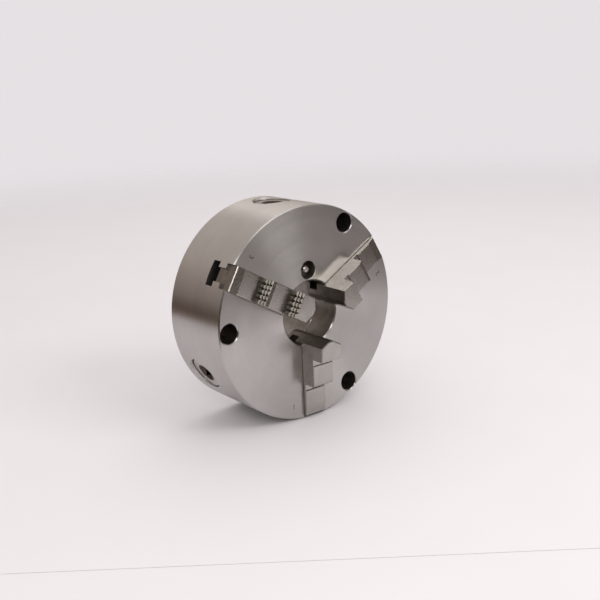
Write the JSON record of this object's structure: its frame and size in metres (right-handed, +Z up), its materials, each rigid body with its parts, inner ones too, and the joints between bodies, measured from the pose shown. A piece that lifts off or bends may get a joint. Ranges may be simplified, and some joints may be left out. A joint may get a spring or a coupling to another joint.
{
  "type": "three-jaw lathe chuck",
  "caption": "Self-centring scroll chuck: round steel body, stepped jaws in radial slots, key sockets in the rim, through bore and front mounting holes.",
  "frame": {"origin": "centre of the rear mounting face, on the chuck axis", "axes": "+Y runs out of the rear mounting face along the chuck axis, so the jaws point towards -Y; +Z is up, through the key socket of pinion_1 and opposite jaw_1; +X is to the right seen from the jaws"},
  "size_m": [0.192, 0.103, 0.192],
  "materials": {
    "ground_steel": "turned and ground, semi-bright",
    "jaw_steel": "hardened and ground, satin",
    "drive_steel": "hardened, machined and oiled",
    "black_screws": "black oxide",
    "nipple_metal": "zinc plated"
  },
  "bodies": {
    "body": {"body": "ground_steel", "rear_cover": "ground_steel", "cover_screw_1": "black_screws", "cover_screw_2": "black_screws", "cover_screw_3": "black_screws", "cover_screw_4": "black_screws", "cover_screw_5": "black_screws", "cover_screw_6": "black_screws", "pinion_screw_1": "black_screws", "pinion_screw_2": "black_screws", "pinion_screw_3": "black_screws", "grease_nipple": "nipple_metal", "nipple_spring": "drive_steel"},
    "scroll": {"scroll": "drive_steel"},
    "pinion_1": {"pinion_1": "drive_steel"},
    "pinion_2": {"pinion_2": "drive_steel"},
    "pinion_3": {"pinion_3": "drive_steel"},
    "jaw_1": {"jaw_1": "jaw_steel"},
    "jaw_2": {"jaw_2": "jaw_steel"},
    "jaw_3": {"jaw_3": "jaw_steel"},
    "nipple_ball": {"nipple_ball": "nipple_metal"}
  },
  "joints": [
    {"name": "scroll_turn", "type": "hinge", "parent": "body", "child": "scroll", "pos_m": [0, -0.04, 0], "axis": [0, -1, 0], "range_deg": [-720, 810]},
    {"name": "pinion_1_turn", "type": "hinge", "parent": "body", "child": "pinion_1", "pos_m": [0, -0.027, 0.08], "axis": [0, 0, 1], "range_deg": [-5346, 4752]},
    {"name": "pinion_2_turn", "type": "hinge", "parent": "body", "child": "pinion_2", "pos_m": [-0.06928, -0.027, -0.04], "axis": [-0.866, 0, -0.5], "range_deg": [-5346, 4752]},
    {"name": "pinion_3_turn", "type": "hinge", "parent": "body", "child": "pinion_3", "pos_m": [0.06928, -0.027, -0.04], "axis": [0.866, 0, -0.5], "range_deg": [-5346, 4752]},
    {"name": "jaw_1_slide", "type": "slide", "parent": "body", "child": "jaw_1", "axis": [0, 0, -1], "range_m": [-0.018, 0.016]},
    {"name": "jaw_2_slide", "type": "slide", "parent": "body", "child": "jaw_2", "axis": [0.866, 0, 0.5], "range_m": [-0.018, 0.016]},
    {"name": "jaw_3_slide", "type": "slide", "parent": "body", "child": "jaw_3", "axis": [-0.866, 0, 0.5], "range_m": [-0.018, 0.016]},
    {"name": "nipple_ball_lift", "type": "slide", "parent": "body", "child": "nipple_ball", "axis": [0, 1, 0], "range_m": [0, 0.0008], "stiffness_N_per_m": 200, "deforming": ["nipple_spring"]}
  ],
  "couplings": [
    {"joint": "pinion_1_turn", "follows": "scroll_turn", "ratio": -6.6},
    {"joint": "pinion_2_turn", "follows": "scroll_turn", "ratio": -6.6},
    {"joint": "pinion_3_turn", "follows": "scroll_turn", "ratio": -6.6},
    {"joint": "jaw_1_slide", "follows": "scroll_turn", "m_per_rad": -0.0012732},
    {"joint": "jaw_2_slide", "follows": "scroll_turn", "m_per_rad": -0.0012732},
    {"joint": "jaw_3_slide", "follows": "scroll_turn", "m_per_rad": -0.0012732}
  ]
}
